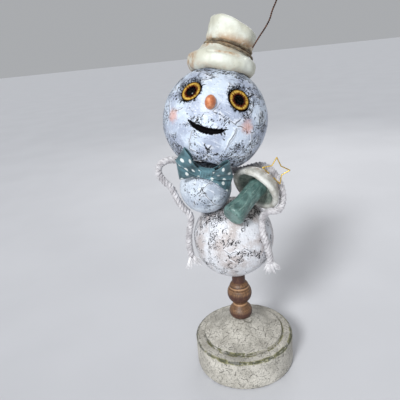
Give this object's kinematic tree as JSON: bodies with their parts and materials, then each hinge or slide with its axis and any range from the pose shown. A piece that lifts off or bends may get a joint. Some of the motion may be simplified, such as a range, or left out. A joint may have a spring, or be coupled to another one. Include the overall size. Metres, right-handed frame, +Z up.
{
  "type": "wooden snowman figure",
  "caption": "Standing snowman figure of stacked painted balls on a turned base, with a hat, bow tie, rope arms and a mushroom under one arm.",
  "frame": {"origin": "middle of the base's underside", "axes": "+Z up, the face towards -Y, +X to the viewer's right"},
  "size_m": [0.1265, 0.1, 0.3542],
  "materials": {
    "base_paint": "crackled cream paint over wood, worn olive at the edges",
    "spindle_wood": "dark stained turned wood",
    "ball_paint": "distressed off-white paint over wood",
    "dowel_wood": "bare dowel",
    "nose_paint": "satin orange paint",
    "hat_clay": "ivory clay with brown antique stain",
    "twine": "twisted jute",
    "rusty_wire": "rusted twisted steel wire",
    "ribbon": "teal ribbed ribbon with white dots",
    "rope": "three-strand cotton",
    "stem_glaze": "green satin glaze on clay",
    "cap_clay": "ivory clay with brown stain",
    "gold_wire": "bright gold wire",
    "steel": "plain",
    "eye_glass": "polished clear glass",
    "iris": "printed amber iris with a black pupil"
  },
  "bodies": {
    "figure": {"base_dome": "base_paint", "base_drum": "base_paint", "bow_knot": "ribbon", "bow_loop_left": "ribbon", "bow_loop_right": "ribbon", "eye_glass_left": "eye_glass", "eye_glass_right": "eye_glass", "eye_iris_left": "iris", "eye_iris_right": "iris", "hat_brim": "hat_clay", "hat_crown": "hat_clay", "hat_twine": "twine", "hat_wire": "rusty_wire", "head_ball": "ball_paint", "left_arm_rope": "rope", "lower_ball": "ball_paint", "mushroom_cap": "cap_clay", "mushroom_pin": "steel", "mushroom_stem": "stem_glaze", "neck_dowel": "dowel_wood", "nose": "nose_paint", "right_arm_rope": "rope", "spindle": "spindle_wood", "star_wire": "gold_wire", "torso_ball": "ball_paint", "waist_dowel": "dowel_wood"},
    "left_hand": {"left_hand_fray": "rope", "left_hand_rope": "rope"},
    "right_hand": {"right_hand_fray": "rope", "right_hand_rope": "rope"}
  },
  "joints": [
    {"name": "left_hand_swing", "type": "hinge", "parent": "figure", "child": "left_hand", "pos_m": [-0.04215, -0.00545, 0.16075], "axis": [-0.0995, 0.995, 0], "range_deg": [0, 60]},
    {"name": "right_hand_swing", "type": "hinge", "parent": "figure", "child": "right_hand", "pos_m": [0.0211, -0.02745, 0.16185], "axis": [-0.7828, -0.6222, 0], "range_deg": [0, 60]}
  ]
}
